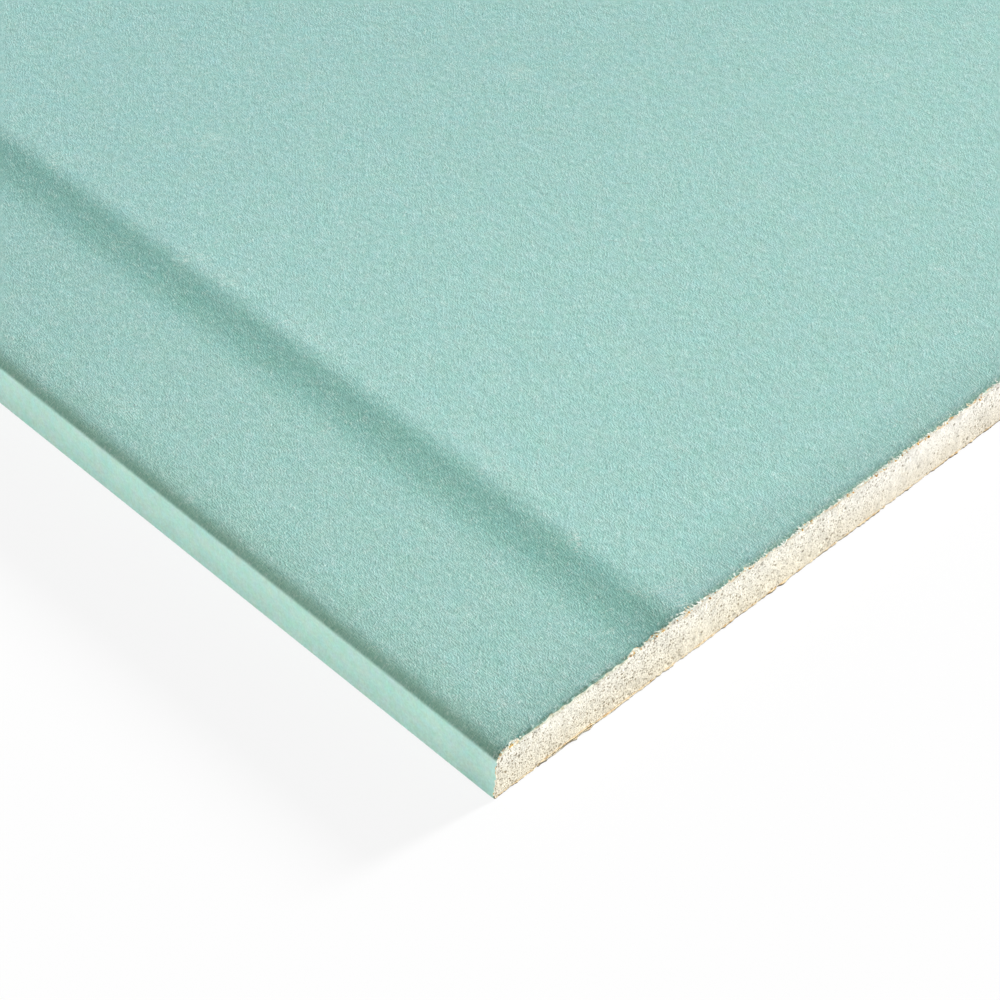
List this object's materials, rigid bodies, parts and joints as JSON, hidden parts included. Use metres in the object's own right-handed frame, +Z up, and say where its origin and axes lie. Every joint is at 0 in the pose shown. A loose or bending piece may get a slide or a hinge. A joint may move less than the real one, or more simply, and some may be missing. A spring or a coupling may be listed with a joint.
{
  "type": "drywall sheet",
  "caption": "Flat rectangular moisture-resistant drywall sheet: gypsum core in green face paper wrapped round tapered long edges, brown back paper, bare cut ends.",
  "frame": {"origin": "middle of the underside, where the sheet lies on its back", "axes": "+X across the two paper-bound tapered edges, +Y along them from cut end to cut end, +Z up out of the face"},
  "size_m": [1.2, 2.4, 0.0125],
  "materials": {
    "gypsum_core": "cream gypsum, fine-pored and matt where it is cut",
    "face_paper": "pale green board, matt, with a short fibre grain",
    "back_paper": "brown-grey recycled board, matt"
  },
  "bodies": {
    "root": {"gypsum_core": "gypsum_core", "face_paper": "face_paper", "back_paper": "back_paper"}
  },
  "joints": []
}
